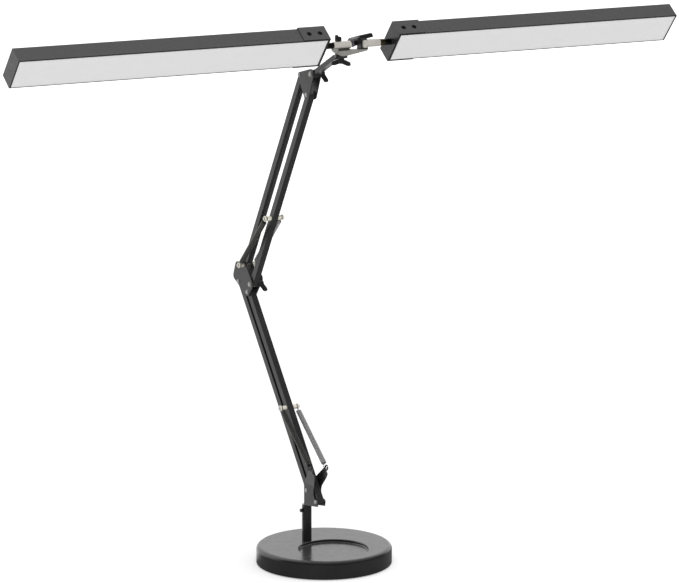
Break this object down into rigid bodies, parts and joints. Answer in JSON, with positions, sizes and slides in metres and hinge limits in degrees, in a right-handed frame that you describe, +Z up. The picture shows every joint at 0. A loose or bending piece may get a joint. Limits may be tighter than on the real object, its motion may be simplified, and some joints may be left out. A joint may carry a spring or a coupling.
{
  "type": "piano lamp",
  "caption": "Piano lamp with a weighted round base, a spring-balanced parallelogram arm and a pair of long slim light bars that roll and fold.",
  "frame": {"origin": "centre of the round base at its underside, on the table", "axes": "+Z up; +X along the light bars, to the player's right; -Y towards the player; the arm swings in the plane X = -12 mm"},
  "size_m": [1.0733, 0.343, 0.8053],
  "materials": {
    "base_black": "satin black powder coat",
    "rubber_pad": "matt",
    "zinc": "bright zinc",
    "arm_black": "satin black paint",
    "rivet_steel": "dull",
    "spring_steel": "dark oiled spring wire",
    "nylon": "moulded",
    "knob_black": "fine moulded grain",
    "hub_silver": "satin",
    "bronze": "dark antique finish",
    "block_grey": "moulded",
    "light_black": "black anodised",
    "diffuser_white": "frosted",
    "board_white": "solder mask",
    "screw_black": "black oxide"
  },
  "bodies": {
    "base": {"base_casting": "base_black", "base_pad": "rubber_pad", "base_post": "base_black", "post_bolt": "zinc", "swivel_collar": "base_black"},
    "socket_screw": {"socket_screw": "knob_black"},
    "bracket": {"swivel_rod": "zinc", "lower_bracket": "arm_black", "lower_rivets": "rivet_steel"},
    "lower_front": {"lower_front_bar": "arm_black", "lower_spring_pin": "zinc", "lower_bobbins": "nylon"},
    "lower_rear": {"lower_rear_bar": "arm_black"},
    "lower_coils": {"lower_springs": "spring_steel"},
    "lower_hooks": {"lower_draw_hooks": "spring_steel"},
    "elbow": {"elbow_plate_left": "arm_black", "elbow_plate_right": "arm_black", "elbow_rivets": "rivet_steel", "elbow_bolt": "rivet_steel", "elbow_spring_pin": "zinc", "elbow_bobbins": "nylon"},
    "elbow_knob": {"elbow_knob": "knob_black"},
    "upper_front": {"upper_front_bar": "arm_black", "upper_spring_pin": "zinc", "upper_bobbins": "nylon"},
    "upper_rear": {"upper_rear_bar": "arm_black"},
    "upper_coils": {"upper_springs": "spring_steel"},
    "upper_hooks": {"upper_draw_hooks": "spring_steel"},
    "head_bracket": {"head_plate_left": "arm_black", "head_plate_right": "arm_black", "head_rivets": "rivet_steel", "tilt_bolt": "rivet_steel"},
    "tilt_knob": {"tilt_knob": "knob_black"},
    "link": {"head_link": "arm_black"},
    "hub": {"head_hub": "hub_silver", "left_sleeve": "hub_silver", "swivel_bolt": "zinc", "fold_yoke": "arm_black", "fold_pin": "screw_black", "clamp_block": "block_grey", "clamp_pin": "screw_black"},
    "swivel_knob": {"swivel_knob": "knob_black"},
    "sleeve_screw": {"sleeve_screw": "knob_black"},
    "clamp_lever": {"clamp_lever": "knob_black"},
    "left_light": {"left_light_housing": "light_black", "left_diffuser": "diffuser_white", "left_led_board": "board_white", "left_end_cap": "light_black", "left_saddle": "light_black", "left_saddle_screws": "screw_black", "left_spindle": "screw_black"},
    "right_arm": {"right_sleeve": "hub_silver"},
    "right_light": {"right_light_housing": "light_black", "right_diffuser": "diffuser_white", "right_led_board": "board_white", "right_end_cap": "light_black", "right_saddle": "light_black", "right_saddle_screws": "screw_black", "right_spindle": "screw_black", "right_collar": "bronze"}
  },
  "joints": [
    {"name": "socket_screw_turn", "type": "hinge", "parent": "base", "child": "socket_screw", "pos_m": [-0.0195, 0.0305, 0.075], "axis": [-1, 0, 0], "continuous": true},
    {"name": "base_swivel", "type": "hinge", "parent": "base", "child": "bracket", "pos_m": [-0.012, 0.0305, 0.06], "axis": [0, 0, 1], "continuous": true},
    {"name": "lower_arm", "type": "hinge", "parent": "bracket", "child": "lower_front", "pos_m": [-0.012, -0.0085, 0.096], "axis": [-1, 0, 0], "range_deg": [-40, 9], "deforming": ["lower_springs", "lower_draw_hooks"]},
    {"name": "lower_rear_pivot", "type": "hinge", "parent": "bracket", "child": "lower_rear", "pos_m": [-0.012, 0.0195, 0.1075], "axis": [-1, 0, 0], "range_deg": [-41, 10]},
    {"name": "lower_spring_swing", "type": "hinge", "parent": "bracket", "child": "lower_coils", "pos_m": [-0.012, -0.0056, 0.1448], "axis": [-1, 0, 0], "range_deg": [-57, 14]},
    {"name": "lower_spring_stretch", "type": "slide", "parent": "lower_coils", "child": "lower_hooks", "axis": [0, 0.7665, 0.6422], "range_m": [-0.015, 0.0042]},
    {"name": "elbow_pivot", "type": "hinge", "parent": "lower_front", "child": "elbow", "pos_m": [-0.012, 0.19917, 0.37462], "axis": [-1, 0, 0], "range_deg": [-10, 41]},
    {"name": "elbow_knob_turn", "type": "hinge", "parent": "elbow", "child": "elbow_knob", "pos_m": [-0.012, 0.19037, 0.38772], "axis": [1, 0, 0], "continuous": true},
    {"name": "upper_arm", "type": "hinge", "parent": "elbow", "child": "upper_front", "pos_m": [-0.012, 0.19037, 0.38772], "axis": [1, 0, 0], "range_deg": [-25, 35], "deforming": ["upper_springs", "upper_draw_hooks"]},
    {"name": "upper_rear_pivot", "type": "hinge", "parent": "elbow", "child": "upper_rear", "pos_m": [-0.012, 0.21087, 0.41422], "axis": [1, 0, 0], "range_deg": [-26, 36]},
    {"name": "upper_spring_swing", "type": "hinge", "parent": "elbow", "child": "upper_coils", "pos_m": [-0.012, 0.21087, 0.41422], "axis": [1, 0, 0], "range_deg": [-26, 36]},
    {"name": "upper_spring_stretch", "type": "slide", "parent": "upper_coils", "child": "upper_hooks", "axis": [0, -0.7035, 0.7107], "range_m": [-0.015, 0.0205]},
    {"name": "head_level", "type": "hinge", "parent": "upper_front", "child": "head_bracket", "pos_m": [-0.012, 0.01758, 0.69438], "axis": [1, 0, 0], "range_deg": [-36, 26]},
    {"name": "tilt_knob_turn", "type": "hinge", "parent": "head_bracket", "child": "tilt_knob", "pos_m": [-0.012, 0.00488, 0.72568], "axis": [1, 0, 0], "continuous": true},
    {"name": "head_tilt", "type": "hinge", "parent": "head_bracket", "child": "link", "pos_m": [-0.012, 0.00488, 0.72568], "axis": [1, 0, 0], "range_deg": [-45, 60]},
    {"name": "head_yaw", "type": "hinge", "parent": "link", "child": "hub", "pos_m": [-0.012, -0.07099, 0.75998], "axis": [0, 0, 1], "range_deg": [-30, 30]},
    {"name": "swivel_knob_turn", "type": "hinge", "parent": "hub", "child": "swivel_knob", "pos_m": [-0.012, -0.07099, 0.75298], "axis": [0, 0, -1], "continuous": true},
    {"name": "sleeve_screw_turn", "type": "hinge", "parent": "hub", "child": "sleeve_screw", "pos_m": [-0.017, -0.07099, 0.78298], "axis": [0, 0, 1], "continuous": true},
    {"name": "clamp_lever_turn", "type": "hinge", "parent": "hub", "child": "clamp_lever", "pos_m": [0.0095, -0.06259, 0.77808], "axis": [0, -1, 0], "range_deg": [0, 90]},
    {"name": "left_light_roll", "type": "hinge", "parent": "hub", "child": "left_light", "pos_m": [-0.035, -0.07099, 0.77548], "axis": [1, 0, 0], "range_deg": [-90, 90]},
    {"name": "right_fold", "type": "hinge", "parent": "hub", "child": "right_arm", "pos_m": [0.025, -0.07099, 0.77548], "axis": [0, 0, 1], "range_deg": [-90, 0]},
    {"name": "right_light_roll", "type": "hinge", "parent": "right_arm", "child": "right_light", "pos_m": [0.06, -0.07099, 0.77548], "axis": [1, 0, 0], "range_deg": [-90, 90]}
  ],
  "couplings": [
    {"joint": "lower_rear_pivot", "follows": "lower_arm", "ratio": 1},
    {"joint": "lower_spring_swing", "follows": "lower_arm", "ratio": 1.3884},
    {"joint": "lower_spring_stretch", "follows": "lower_arm", "m_per_rad": 0.02015},
    {"joint": "elbow_pivot", "follows": "lower_arm", "ratio": -1},
    {"joint": "upper_rear_pivot", "follows": "upper_arm", "ratio": 1},
    {"joint": "upper_spring_swing", "follows": "upper_arm", "ratio": 1.0054},
    {"joint": "upper_spring_stretch", "follows": "upper_arm", "m_per_rad": 0.03222},
    {"joint": "head_level", "follows": "upper_arm", "ratio": -1}
  ]
}
